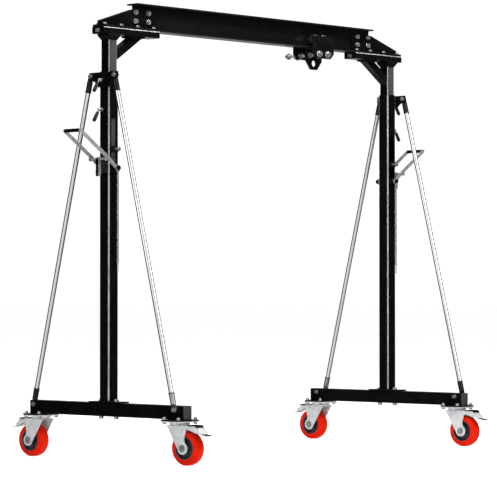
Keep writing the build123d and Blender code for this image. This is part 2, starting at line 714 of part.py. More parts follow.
with BuildPart() as head_channels:
    for frame_side in SIDES.values():
        middle_in = (head_inboard - head_outboard) / 2
        with Locations((out_x(frame_side, -middle_in), 0, head_bottom)):
            Box(head_length, head_width, head_height, align=BASE)
    fillet(head_channels.edges().filter_by(Axis.X), head_corner_radius)
    for frame_side in SIDES.values():
        # packer that carries the gusset feet past the end of the beam
        packer_in = beam_end_inboard - packer_gap
        with Locations((out_x(frame_side, -(packer_in - head_outboard) / 2), 0, head_top)):
            Box(packer_in + head_outboard, i_beam_flange, i_beam_flange_wall, align=BASE)
        for inboard in flange_bolt_inboard:
            for across in (-flange_bolt_y, flange_bolt_y):
                with Locations((out_x(frame_side, -inboard), across, head_top)):
                    Cylinder(flange_bolt_radius + loose, 4 * i_beam_flange_wall, mode=Mode.SUBTRACT)
        with Locations((out_x(frame_side, -middle_in), 0, head_bottom + head_wall)):
            Box(head_length - 2 * head_wall, head_width - 2 * head_wall, head_height - 2 * head_wall,
                align=BASE, mode=Mode.SUBTRACT)
        # stop bolts in the two ends
        for at, way in ((head_outboard, 1), (-head_inboard, -1)):
            spot = (out_x(frame_side, at), 0, head_bottom + head_height / 2)
            rod(spot, (frame_side * way, 0, 0), 2 * stop_bolt_radius, 1.5)
            hex_prism(spot, (frame_side * way, 0, 0), stop_bolt_radius, 9)
finish(head_channels, "head_channels")

knee_top_inboard = inner_mast_size / 2 + (
    (head_bottom - knee_plate - outer_mast_top - knee_foot_height) / sin(radians(knee_angle))
    * cos(radians(knee_angle)))
with BuildPart() as knee_braces:
    for frame_side in SIDES.values():
        foot = Vector(out_x(frame_side, -inner_mast_size / 2), 0, outer_mast_top + knee_foot_height)
        head = Vector(out_x(frame_side, -knee_top_inboard), 0, head_bottom - knee_plate)
        run = (head - foot).normalized()
        with Locations(Plane(origin=foot - run * knee_size, x_dir=(0, 1, 0), z_dir=run).location):
            long = (head - foot).length + 2 * knee_size
            Box(knee_size, knee_size, long, align=BASE)
            Box(knee_size - 2 * knee_wall, knee_size - 2 * knee_wall, long, align=BASE,
                mode=Mode.SUBTRACT)
        # trimmed flush at the mast and at the head plate
        with Locations((out_x(frame_side, -inner_mast_size / 2), 0, foot.Z)):
            facing_mast = (Align.MIN if frame_side > 0 else Align.MAX, Align.CENTER, Align.CENTER)
            Box(4 * knee_size, 2 * knee_size, 8 * knee_size, align=facing_mast, mode=Mode.SUBTRACT)
        with Locations((head.X, 0, head.Z)):
            Box(8 * knee_size, 2 * knee_size, 4 * knee_size, align=BASE, mode=Mode.SUBTRACT)
            Box(knee_plate_length, knee_size + 20, knee_plate, align=BASE)
finish(knee_braces, "knee_braces")

with BuildPart() as gusset_plates:
    for frame_side in SIDES.values():
        for end in ENDS.values():
            inner = end * i_beam_web / 2
            flat = Plane(origin=(out_x(frame_side, 0), inner, flange_top),
                         x_dir=(-frame_side, 0, 0), z_dir=(0, end, 0))
            up = 1 if flat.y_dir.Z > 0 else -1
            with BuildSketch(flat) as plate:
                Polygon((-gusset_outboard, 0), (head_inboard, 0),
                        (head_inboard, up * gusset_full_height),
                        (gusset_slope_end, up * gusset_full_height),
                        (-gusset_outboard, up * gusset_end_height), align=None)
            extrude(plate.sketch, amount=gusset_wall)
            foot_length = head_inboard + gusset_outboard
            foot_width = (i_beam_flange - i_beam_web) / 2
            place = (out_x(frame_side, -(head_inboard - gusset_outboard) / 2),
                     inner + end * foot_width / 2, flange_top)
            with Locations(place):
                Box(foot_length, foot_width, gusset_wall, align=BASE)
    heels = gusset_plates.edges().filter_by(Axis.X).group_by(Axis.Z)[0]
    fillet(heels.filter_by_position(Axis.Y, -i_beam_web, i_beam_web), 2)
    for frame_side in SIDES.values():
        for inboard in web_bolt_inboard:
            for up in web_bolt_height:
                rod((out_x(frame_side, -inboard), -2 * gusset_wall, flange_top + up), (0, 1, 0),
                    web_bolt_radius + loose, 4 * gusset_wall, Mode.SUBTRACT)
        for inboard in flange_bolt_inboard:
            for across in (-flange_bolt_y, flange_bolt_y):
                with Locations((out_x(frame_side, -inboard), across, flange_top)):
                    Cylinder(flange_bolt_radius + loose, 4 * gusset_wall, mode=Mode.SUBTRACT)
finish(gusset_plates, "gusset_plates")

with BuildPart() as beam_bolts:
    for frame_side in SIDES.values():
        for inboard in web_bolt_inboard:
            for up in web_bolt_height:
                fastener((out_x(frame_side, -inboard), -i_beam_web / 2 - gusset_wall, flange_top + up),
                         (0, 1, 0), web_bolt_radius, i_beam_web + 2 * gusset_wall)
        for inboard in flange_bolt_inboard:
            for across in (-flange_bolt_y, flange_bolt_y):
                fastener((out_x(frame_side, -inboard), across, flange_top + gusset_wall), (0, 0, -1),
                         flange_bolt_radius, gusset_wall + i_beam_flange_wall + head_wall, end=1)
finish(beam_bolts, "beam_bolts")

# ---------------------------------------------------------------- trolley
roller_z = flange_top + roller_radius + slip
roller_ledge = i_beam_flange / 2 + roller_flange_gap
roller_inside = roller_ledge - roller_tread_width
side_plate_inside = side_plate_y - side_plate_wall
side_plate_top = roller_z + side_plate_rise

with BuildPart() as trolley_side_plates:
    for end in ENDS.values():
        flat = Plane(origin=(trolley_x, end * side_plate_inside, 0), x_dir=(1, 0, 0), z_dir=(0, end, 0))
        up = 1 if flat.y_dir.Z > 0 else -1
        low = side_plate_top - side_plate_height
        half = side_plate_length / 2
        with BuildSketch(flat) as plate:
            Polygon((-half, up * side_plate_top), (half, up * side_plate_top),
                    (half, up * (low + side_plate_cut)), (half - side_plate_cut, up * low),
                    (-half + side_plate_cut, up * low), (-half, up * (low + side_plate_cut)),
                    align=None)
            with Locations((-roller_spacing / 2, up * roller_z), (roller_spacing / 2, up * roller_z)):
                Circle(roller_pin_radius, mode=Mode.SUBTRACT)
            with Locations((-roller_spacing / 2, up * spreader_z), (roller_spacing / 2, up * spreader_z)):
                Circle(spreader_radius + loose, mode=Mode.SUBTRACT)
        extrude(plate.sketch, amount=side_plate_wall)
finish(trolley_side_plates, "trolley_side_plates")

with BuildPart() as roller_pins:
    for end in ENDS.values():
        for along in (-roller_spacing / 2, roller_spacing / 2):
            inside = (trolley_x + along, end * (roller_inside - 4), roller_z)
            rod(inside, (0, end, 0), roller_pin_radius, side_plate_y + 2 - roller_inside + 4)
            rod(inside, (0, end, 0), roller_pin_radius + 3, 3)
            rod((inside[0], end * side_plate_y, roller_z), (0, end, 0), roller_pin_radius + 1.5, 3)
finish(roller_pins, "roller_pins")

for end_name, end_side in ENDS.items():
    for along_name, along in (("left", -roller_spacing / 2), ("right", roller_spacing / 2)):
        with BuildPart() as roller:
            place = facing((trolley_x + along, end_side * roller_inside, roller_z), (0, end_side, 0))
            with Locations(place):
                Cylinder(roller_radius, roller_ledge - roller_inside, align=BASE)
                Cylinder(roller_hub_radius, side_plate_inside - slip - roller_inside, align=BASE)
            ledge = facing((trolley_x + along, end_side * roller_ledge, roller_z), (0, end_side, 0))
            with Locations(ledge):
                Cylinder(roller_flange_radius, roller_flange_wall, align=BASE)
            with Locations(place):
                Cylinder(roller_pin_radius + running, side_plate_y, align=BASE, mode=Mode.SUBTRACT)
        finish(roller, f"trolley_{end_name}_{along_name}_roller")

with BuildPart() as spreader_axles:
    nut_height = 1.6 * spreader_radius
    for along in (-roller_spacing / 2, roller_spacing / 2):
        x = trolley_x + along
        front = -side_plate_y - nut_height - 3
        rod((x, front, spreader_z), (0, 1, 0), spreader_radius, side_plate_y + spreader_spare - front)
        for face, way in ((-side_plate_y, -1), (-side_plate_inside, 1), (side_plate_inside, -1),
                          (side_plate_y, 1), (side_plate_y + spreader_spare - 22, 1),
                          (-hanger_wall / 2, -1), (hanger_wall / 2, 1)):
            rod((x, face, spreader_z), (0, way, 0), 1.9 * spreader_radius, 2)
            hex_prism((x, face + 2 * way, spreader_z), (0, way, 0), spreader_radius, nut_height * 0.8)
finish(spreader_axles, "spreader_axles")

with BuildPart() as hanger_plate:
    with BuildSketch(Plane.XZ.offset(-hanger_wall / 2)) as plate:
        with Locations((trolley_x, spreader_z)):
            top = hanger_top_width / 2
            foot = hanger_bottom_width / 2
            Polygon((-top, hanger_rise), (top, hanger_rise), (top, -hanger_shoulder),
                    (foot, -hanger_depth), (-foot, -hanger_depth), (-top, -hanger_shoulder), align=None)
            with Locations((0, -eye_drop)):
                Circle(eye_radius, mode=Mode.SUBTRACT)
            with Locations((-roller_spacing / 2, 0), (roller_spacing / 2, 0)):
                Circle(spreader_radius + loose, mode=Mode.SUBTRACT)
    extrude(plate.sketch, amount=hanger_wall)
finish(hanger_plate, "hanger_plate")
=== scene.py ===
import json
import math

import bmesh
import bpy
import numpy as np
from mathutils import Matrix, Vector

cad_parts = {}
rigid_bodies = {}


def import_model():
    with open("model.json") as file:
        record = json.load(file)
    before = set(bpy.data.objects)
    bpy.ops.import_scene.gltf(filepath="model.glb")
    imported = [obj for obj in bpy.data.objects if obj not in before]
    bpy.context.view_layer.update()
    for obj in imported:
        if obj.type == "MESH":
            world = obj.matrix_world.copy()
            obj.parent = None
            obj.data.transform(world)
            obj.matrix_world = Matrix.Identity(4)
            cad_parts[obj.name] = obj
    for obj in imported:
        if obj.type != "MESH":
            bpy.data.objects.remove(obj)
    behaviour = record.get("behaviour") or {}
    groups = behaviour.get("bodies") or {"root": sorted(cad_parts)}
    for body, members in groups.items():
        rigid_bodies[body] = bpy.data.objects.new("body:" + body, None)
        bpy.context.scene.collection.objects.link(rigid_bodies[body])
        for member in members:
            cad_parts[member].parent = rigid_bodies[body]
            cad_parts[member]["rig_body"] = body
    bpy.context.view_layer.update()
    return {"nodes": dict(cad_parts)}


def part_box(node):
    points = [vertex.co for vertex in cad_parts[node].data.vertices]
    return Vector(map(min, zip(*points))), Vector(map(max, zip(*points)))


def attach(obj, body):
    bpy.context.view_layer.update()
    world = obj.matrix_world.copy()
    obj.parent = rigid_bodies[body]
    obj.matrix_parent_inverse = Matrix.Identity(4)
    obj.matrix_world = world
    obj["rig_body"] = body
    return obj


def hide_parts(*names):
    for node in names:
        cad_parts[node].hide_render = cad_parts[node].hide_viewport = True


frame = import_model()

SIDES = {"left": -1, "right": 1}
ENDS = {"front": -1, "rear": 1}


# ------------------------------------------------------------------ materials
def link(tree, a, b):
    tree.links.new(a, b)


def node(tree, kind, **inputs):
    made = tree.nodes.new(kind)
    for name, value in inputs.items():
        made.inputs[name].default_value = value
    return made


def ranged(tree, source, low, high, start=0.3, stop=0.7):
    """Map a noise value to low..high."""
    made = node(tree, "ShaderNodeMapRange")
    made.inputs["From Min"].default_value = start
    made.inputs["From Max"].default_value = stop
    made.inputs["To Min"].default_value = low
    made.inputs["To Max"].default_value = high
    link(tree, source, made.inputs["Value"])
    return made.outputs["Result"]


def surface(name, colour, second, rough, metallic=0.0, specular=0.5, coat=0.0, cloud=9.0, grain=900.0,
            bump=0.1, stretch=(1, 1, 1), edge=None, scratch=0.0):
    """A finish with large soft clouds in colour and roughness, a fine grain and optional lighter sharp edges,
    a painted edge highlight.
    """
    mat = bpy.data.materials.new(name)
    mat.use_nodes = True
    tree = mat.node_tree
    shader = tree.nodes["Principled BSDF"]
    shader.inputs["Metallic"].default_value = metallic
    shader.inputs["Specular IOR Level"].default_value = specular
    shader.inputs["Coat Weight"].default_value = coat
    shader.inputs["Coat Roughness"].default_value = 0.12
    place = node(tree, "ShaderNodeTexCoord")
    spread = node(tree, "ShaderNodeMapping")
    spread.inputs["Scale"].default_value = stretch
    link(tree, place.outputs["Object"], spread.inputs["Vector"])
    clouds = node(tree, "ShaderNodeTexNoise", Scale=cloud, Detail=5.0, Roughness=0.6)
    link(tree, spread.outputs["Vector"], clouds.inputs["Vector"])
    grains = node(tree, "ShaderNodeTexNoise", Scale=grain, Detail=2.0, Roughness=0.5)
    link(tree, spread.outputs["Vector"], grains.inputs["Vector"])
    tint = node(tree, "ShaderNodeMix")
    tint.data_type = "RGBA"
    tint.inputs["A"].default_value = (*colour, 1)
    tint.inputs["B"].default_value = (*second, 1)
    link(tree, ranged(tree, clouds.outputs["Fac"], 0, 1), tint.inputs["Factor"])
    shade = tint.outputs["Result"]
    # sharp convex edges are mixed towards the edge colour: a painted edge highlight
    if edge:
        corners = node(tree, "ShaderNodeNewGeometry")
        painted_edge_highlight = node(tree, "ShaderNodeMix")
        painted_edge_highlight.data_type = "RGBA"
        painted_edge_highlight.inputs["B"].default_value = (*edge, 1)
        link(tree, shade, painted_edge_highlight.inputs["A"])
        link(tree, ranged(tree, corners.outputs["Pointiness"], 0, 0.7, 0.53, 0.62), painted_edge_highlight.inputs["Factor"])
        shade = painted_edge_highlight.outputs["Result"]
    link(tree, shade, shader.inputs["Base Color"])
    link(tree, ranged(tree, clouds.outputs["Fac"], rough * 0.85, rough * 1.2), shader.inputs["Roughness"])
    raised = node(tree, "ShaderNodeBump", Strength=bump, Distance=0.0006)
    height = grains.outputs["Fac"]
    if scratch:
        lines = node(tree, "ShaderNodeTexNoise", Scale=60.0, Detail=6.0, Roughness=0.7)
        lined = node(tree, "ShaderNodeMapping")
        lined.inputs["Scale"].default_value = (40, 40, 1)
        link(tree, place.outputs["Object"], lined.inputs["Vector"])
        link(tree, lined.outputs["Vector"], lines.inputs["Vector"])
        both = node(tree, "ShaderNodeMath")
        both.operation = "MULTIPLY_ADD"
        both.inputs[1].default_value = scratch
        link(tree, lines.outputs["Fac"], both.inputs[0])
        link(tree, grains.outputs["Fac"], both.inputs[2])
        height = both.outputs["Value"]
    link(tree, height, raised.inputs["Height"])
    link(tree, raised.outputs["Normal"], shader.inputs["Normal"])
    return mat


# each edge colour below is a painted highlight on sharp edges
BLACK = surface("black_powder_coat", (0.0016, 0.0016, 0.0018), (0.0028, 0.0028, 0.0031), 0.27,
                specular=0.03, grain=1300, bump=0.25, edge=(0.010, 0.010, 0.011))
BEAM = surface("beam_paint", (0.0016, 0.0016, 0.0018), (0.0028, 0.0028, 0.0031), 0.36,
               specular=0.08, grain=1300, bump=0.25, edge=(0.014, 0.014, 0.015))
SATIN = surface("inner_mast_paint", (0.0010, 0.0010, 0.0012), (0.0022, 0.0022, 0.0025), 0.22,
                specular=0.04, grain=1100, bump=0.15, edge=(0.03, 0.03, 0.032), stretch=(1, 1, 0.2))
SLEEVE = surface("sleeve_paint", (0.0030, 0.0030, 0.0034), (0.0060, 0.0060, 0.0066), 0.24,
                 specular=0.2, grain=800, bump=0.12)
CHROME = surface("chrome", (0.62, 0.63, 0.65), (0.72, 0.73, 0.75), 0.09, metallic=1.0,
                 grain=300, bump=0.004, stretch=(1, 1, 0.1))
# a lighter grey for the inner masts' front and back faces and the end plugs: painted light, standing for the
# light those faces catch, while the side faces stay black
PAINTED_LIGHT_FACE = surface("painted_light_face", (0.028, 0.029, 0.032), (0.040, 0.041, 0.045), 0.30,
                specular=0.25, grain=900, bump=0.15, stretch=(1, 1, 0.15), cloud=6)
# a light grey for rounded corners and upper edges: a painted highlight, standing for the bright line a lamp
# draws along them
PAINTED_HIGHLIGHT = surface("painted_corner_highlight", (0.16, 0.16, 0.165), (0.30, 0.30, 0.31), 0.28, specular=0.5,
                 cloud=14, grain=1100, bump=0.15)
PAD = surface("dog_pad_paint", (0.010, 0.010, 0.011), (0.020, 0.020, 0.022), 0.35, specular=0.3,
              grain=900, bump=0.2)
ZINC = surface("zinc_plate", (0.52, 0.53, 0.55), (0.68, 0.69, 0.70), 0.36, metallic=0.45, cloud=40,
               grain=700, bump=0.3, edge=(0.72, 0.73, 0.74))
LEVER_ZINC = surface("lever_zinc", (0.24, 0.25, 0.26), (0.36, 0.37, 0.38), 0.34, metallic=0.6, cloud=30,
                     grain=600, bump=0.25, edge=(0.50, 0.51, 0.53))
STEEL = surface("bright_bolts", (0.30, 0.31, 0.33), (0.44, 0.45, 0.47), 0.24, metallic=0.85, cloud=60,
                grain=900, bump=0.2, edge=(0.80, 0.80, 0.82))
TREAD = surface("red_polyurethane", (0.44, 0.007, 0.0010), (0.56, 0.012, 0.0016), 0.30, specular=0.03,
                cloud=22, grain=420, bump=0.15)
CORE = surface("wheel_core_paint", (0.035, 0.042, 0.052), (0.065, 0.075, 0.088), 0.35, metallic=0.5,
               specular=0.2, grain=500, bump=0.35, cloud=40)
HUB = surface("hub_cap", (0.30, 0.31, 0.33), (0.42, 0.43, 0.45), 0.3, metallic=1.0, cloud=60,
              grain=700, bump=0.2)
RUBBER = surface("black_rubber", (0.0012, 0.0012, 0.0012), (0.0026, 0.0026, 0.0026), 0.5, specular=0.03,
                 grain=480, bump=0.6)
PLASTIC = surface("dark_plastic", (0.006, 0.006, 0.007), (0.011, 0.011, 0.012), 0.38, specular=0.15,
                  grain=900, bump=0.3)


# ------------------------------------------------------------------ pieces
def show(name, mesh, body, mats, stands_for=None):
    for mat in mats:
        mesh.materials.append(mat)
    obj = bpy.data.objects.new(name, mesh)
    bpy.context.scene.collection.objects.link(obj)
    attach(obj, body)
    if stands_for:
        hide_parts(stands_for)
    return obj


def body_of(cad_node):
    return frame["nodes"][cad_node]["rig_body"]


def rounded(cad_node, width, mats, choose=None):
    """The CAD node's own shape with its sharp edges eased. choose(centre) gives a face's material."""
    mesh = frame["nodes"][cad_node].data.copy()
    mesh.materials.clear()
    for spare in ("custom_normal", "sharp_face", "sharp_edge"):
        if spare in mesh.attributes:
            mesh.attributes.remove(mesh.attributes[spare])
    work = bmesh.new()
    work.from_mesh(mesh)
    bmesh.ops.remove_doubles(work, verts=work.verts, dist=2e-6)
    bmesh.ops.dissolve_limit(work, angle_limit=math.radians(0.4), verts=work.verts, edges=work.edges)
    for face in work.faces:
        face.smooth = True
        face.material_index = choose(face.calc_center_median()) if choose else 0
    work.to_mesh(mesh)
    work.free()
    mesh.set_sharp_from_angle(angle=math.radians(35))
    obj = show(f"{cad_node}.look", mesh, body_of(cad_node), mats, cad_node)
    if width:
        ease = obj.modifiers.new("ease", "BEVEL")
        ease.width = width
        ease.segments = 2
        ease.limit_method = "ANGLE"
        ease.angle_limit = math.radians(40)
        ease.use_clamp_overlap = True
        ease.harden_normals = True
        ease.miter_outer = "MITER_ARC"
    return obj


def frame_along(direction):
    """Two unit vectors across a direction."""
    d = Vector(direction).normalized()
    side = d.cross(Vector((0, 0, 1)))
    if side.length < 0.05:
        side = d.cross(Vector((1, 0, 0)))
    side.normalize()
    return d, side, d.cross(side)


def grid_mesh(name, rings, hollow=False):
    """A skin over rings of points, all with the same count. A hollow one joins its last ring to its first."""
    count = len(rings[0])
    verts = [tuple(p) for ring in rings for p in ring]
    faces = []
    for r in range(len(rings) - (0 if hollow else 1)):
        t = (r + 1) % len(rings)
        for k in range(count):
            n = (k + 1) % count
            faces.append((r * count + k, r * count + n, t * count + n, t * count + k))
    if not hollow:
        faces.append(tuple(range(count - 1, -1, -1)))
        last = (len(rings) - 1) * count
        faces.append(tuple(range(last, last + count)))
    mesh = bpy.data.meshes.new(name)
    mesh.from_pydata(verts, [], faces)
    mesh.polygons.foreach_set("use_smooth", [True] * len(faces))
    mesh.set_sharp_from_angle(angle=math.radians(38))
    return mesh


def turned(name, profile, origin, direction, body, mat, sides=48):
    """A lathe shape: profile is a list of (along, radius) from origin."""
    d, u, v = frame_along(direction)
    rings = []
    for along, radius in profile:
        centre = Vector(origin) + d * along
        rings.append([centre + (u * math.cos(a) + v * math.sin(a)) * max(radius, 1e-5)
                      for a in np.linspace(0, 2 * math.pi, sides, endpoint=False)])
    return show(name, grid_mesh(name, rings, hollow=profile[0][1] > 0.0031), body, [mat])


def threaded(name, start, direction, radius, pitch, length, body, mat, sides=20):
    """A rod with a real helical thread."""
    d, u, v = frame_along(direction)
    steps = int(length / pitch * 6)
    rings = []
    for i in range(steps + 1):
        along = length * i / steps
        fade = min(1, along / pitch, (length - along) / pitch)
        ring = []
        for k in range(sides):
            phase = (along / pitch - k / sides) % 1
            depth = 0.30 * pitch * (1 - abs(2 * phase - 1)) * fade + 0.3 * pitch * (1 - fade)
            a = 2 * math.pi * k / sides
            ring.append(Vector(start) + d * along + (u * math.cos(a) + v * math.sin(a)) * (radius - depth))
        rings.append(ring)
    mesh = grid_mesh(name, rings)
    return show(name, mesh, body, [mat])


class Beads:
    """Weld beads of one body, gathered in one mesh."""

    def __init__(self):
        self.verts, self.faces = [], []

    def run(self, points, radius=0.0028, closed=False):
        points = [Vector(p) for p in points]
        if closed:
            points.append(points[0])
        path = []
        for a, b in zip(points, points[1:]):
            steps = max(1, round((b - a).length / 0.0012))
            path += [a.lerp(b, i / steps) for i in range(steps)]
        path.append(points[-1])
        first = len(self.verts)
        sides = 8
        for i, p in enumerate(path):
            ahead = path[min(i + 1, len(path) - 1)] - path[max(i - 1, 0)]
            _, u, v = frame_along(ahead)
            size = radius * (1 + 0.16 * math.sin(i * 1.9) + 0.05 * math.sin(i * 0.37))
            for k in range(sides):
                a = 2 * math.pi * k / sides
                self.verts.append(tuple(p + (u * math.cos(a) + v * math.sin(a)) * size))
        for r in range(len(path) - 1):
            for k in range(sides):
                n = (k + 1) % sides
                base = first + r * sides
                self.faces.append((base + k, base + n, base + sides + n, base + sides + k))

    def ring(self, centre, direction, radius, bead=0.0025):
        d, u, v = frame_along(direction)
        self.run([Vector(centre) + (u * math.cos(a) + v * math.sin(a)) * radius
                  for a in np.linspace(0, 2 * math.pi, 28, endpoint=False)], bead, closed=True)

    def rectangle(self, centre, half_x, half_y, bead=0.0028):
        c = Vector(centre)
        self.run([c + Vector((sx * half_x, sy * half_y, 0)) for sx, sy in
                  ((-1, -1), (1, -1), (1, 1), (-1, 1))], bead, closed=True)

    def show(self, name, body):
        mesh = bpy.data.meshes.new(name)
        mesh.from_pydata(self.verts, [], self.faces)
        mesh.polygons.foreach_set("use_smooth", [True] * len(self.faces))
        return show(name, mesh, body, [BLACK])


# ------------------------------------------------------------------ where things are, metres
MAST_X = 0.965
OUTER_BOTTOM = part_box("left_outer_mast")[0].z + 0.006
OUTER_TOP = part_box("left_outer_mast")[1].z
BASE_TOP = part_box("left_base_beam")[1].z
BASE_BOTTOM = BASE_TOP - 0.061
HEAD_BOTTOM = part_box("head_channels")[0].z
HEAD_TOP = HEAD_BOTTOM + 0.030
LEVER_Z = OUTER_TOP - 0.430
LOCK_Z = OUTER_TOP - 0.346
AXLE_Z = 0.075
SPREADER_Z = HEAD_TOP - 0.032
TROLLEY_X = 0.410
SLEEVE_LENGTH = 0.048
SLEEVE_START = 0.024        # from a brace's bolt to its sleeve
BRACE_TOP_Y = 0.075
BRACE_FOOT_Y = 0.445
BRACE_PLANE = 0.039         # outwards from the mast's middle
CASTOR_Y = 0.440
CASTOR_TURN = 5             # degrees
CASTOR_TRAIL = 0.045
BASE_END_Y = 0.485
UPPER_CLAMP_DROP = 0.040
LOWER_CLAMP_DROP = 0.171
KNEE_SLOPE = math.tan(math.radians(34))
KNEE_COSINE = math.cos(math.radians(34))
VIEW_HEADING = 42.75        # degrees from +X, the way the camera looks


# ------------------------------------------------------------------ end frames
for name, side in SIDES.items():
    x = side * MAST_X
    body = f"{name}_frame"
    out = Vector((side, 0, 0))
    rounded(f"{name}_base_beam", 0.0012, [BLACK])

    def mast_part(c, s=side):
        over, up = abs(abs(c.x) - MAST_X), c.z - LEVER_Z - 0.013
        # the outer mast's rounded corner faces get the light grey of a painted highlight
        if over > 0.0245 and abs(c.y) > 0.0245 and over < 0.0301 and abs(c.y) < 0.0301 and c.z > OUTER_BOTTOM:
            return 1
        return 2 if 0.030 < c.x * s - MAST_X < 0.0345 and abs(c.y) < 0.0185 and abs(up) < 0.036 else 0

    rounded(f"{name}_outer_mast", 0.0009, [BLACK, PAINTED_HIGHLIGHT, PAD], mast_part)
    rounded(f"{name}_brace_tubes", 0.0, [CHROME])
    rounded(f"{name}_brace_sleeves", 0.0008, [SLEEVE, HUB],
            lambda c, e=side: int(c.z < 1.0 and c.y * e > 0))
    rounded(f"{name}_frame_bolts", 0.0005, [STEEL])
    rounded(f"{name}_castor_plates", 0.0008, [ZINC])

    beads = Beads()
    beads.rectangle((x, 0, OUTER_BOTTOM + 0.0005), 0.0305, 0.0305, 0.003)
    for end in ENDS.values():
        for edge in (-1, 1):
            beads.run([(x - 0.025, end * CASTOR_Y + edge * 0.05, BASE_BOTTOM + 0.0005),
                       (x - 0.025, end * CASTOR_Y + edge * 0.004, BASE_BOTTOM + 0.0005)], 0.0025)
            beads.run([(x + 0.025, end * CASTOR_Y + edge * 0.05, BASE_BOTTOM + 0.0005),
                       (x + 0.025, end * CASTOR_Y + edge * 0.004, BASE_BOTTOM + 0.0005)], 0.0025)
        beads.ring((x + side * 0.0255, end * BRACE_FOOT_Y, BASE_TOP - 0.018), out, 0.0135)
        beads.ring((x, end * 0.0385, LEVER_Z), (0, 1, 0), 0.0092, 0.0016)
        for edge in (-1, 1):
            beads.run([(x + edge * 0.0225, end * 0.0305, LEVER_Z - 0.014),
                       (x + edge * 0.0225, end * 0.0305, LEVER_Z + 0.014)], 0.0018)
    for edge in (-1, 1):
        beads.run([(x + edge * 0.0225, -0.0305, LOCK_Z - 0.012),
                   (x + edge * 0.0225, -0.0305, LOCK_Z + 0.012)], 0.0018)
        beads.run([(x + side * 0.0305, edge * 0.0295, OUTER_TOP - 0.070),
                   (x + side * 0.0305, edge * 0.0295, OUTER_TOP - 0.048)], 0.002)
    beads.ring((x + side * 0.0365, 0, OUTER_TOP - UPPER_CLAMP_DROP), out, 0.0135, 0.0018)
    beads.ring((x + side * 0.0305, 0, OUTER_TOP - LOWER_CLAMP_DROP), out, 0.0135, 0.0018)
    beads.show(f"{name}_frame_welds", body)

    # plastic plugs in the open ends of the base beam, in the lighter grey of painted light on those end faces
    for end_name, end in ENDS.items():
        rings = []
        for depth, inset in ((-0.004, 0.0028), (0.0, 0.0028), (0.0003, 0.0004), (0.0022, 0.0004),
                             (0.0036, 0.0018), (0.0040, 0.005)):
            hx, hz, r = 0.025 - inset, 0.0305 - inset, 0.005
            ring = []
            for cx, cz, start in ((1, 1, 0), (-1, 1, 90), (-1, -1, 180), (1, -1, 270)):
                for k in range(5):
                    a = math.radians(start + 22.5 * k)
                    ring.append((x + cx * (hx - r) + r * math.cos(a), end * (BASE_END_Y + depth),
                                 BASE_BOTTOM + 0.0305 + cz * (hz - r) + r * math.sin(a)))
            rings.append(ring)
        show(f"{name}_{end_name}_end_plug", grid_mesh("plug", rings), body, [PAINTED_LIGHT_FACE])

    # collars where the chrome brace tubes enter the sleeves
    upper_z, lower_z = OUTER_TOP - 0.020, BASE_TOP - 0.018
    plane_x = x + side * BRACE_PLANE
    for end_name, end in ENDS.items():
        top = Vector((plane_x, end * BRACE_TOP_Y, upper_z))
        foot = Vector((plane_x, end * BRACE_FOOT_Y, lower_z))
        run = (foot - top).normalized()
        for label, start, way in (("upper", top, run), ("lower", foot, -run)):
            lip = start + way * (SLEEVE_START + SLEEVE_LENGTH - 0.0009)
            turned(f"{name}_{end_name}_{label}_lip",
                   [(0, 0.0112), (0, 0.0138), (0.001, 0.0144), (0.003, 0.0144), (0.0042, 0.0136),
                    (0.0042, 0.0112)],
                   lip, way, body, SLEEVE, 40)

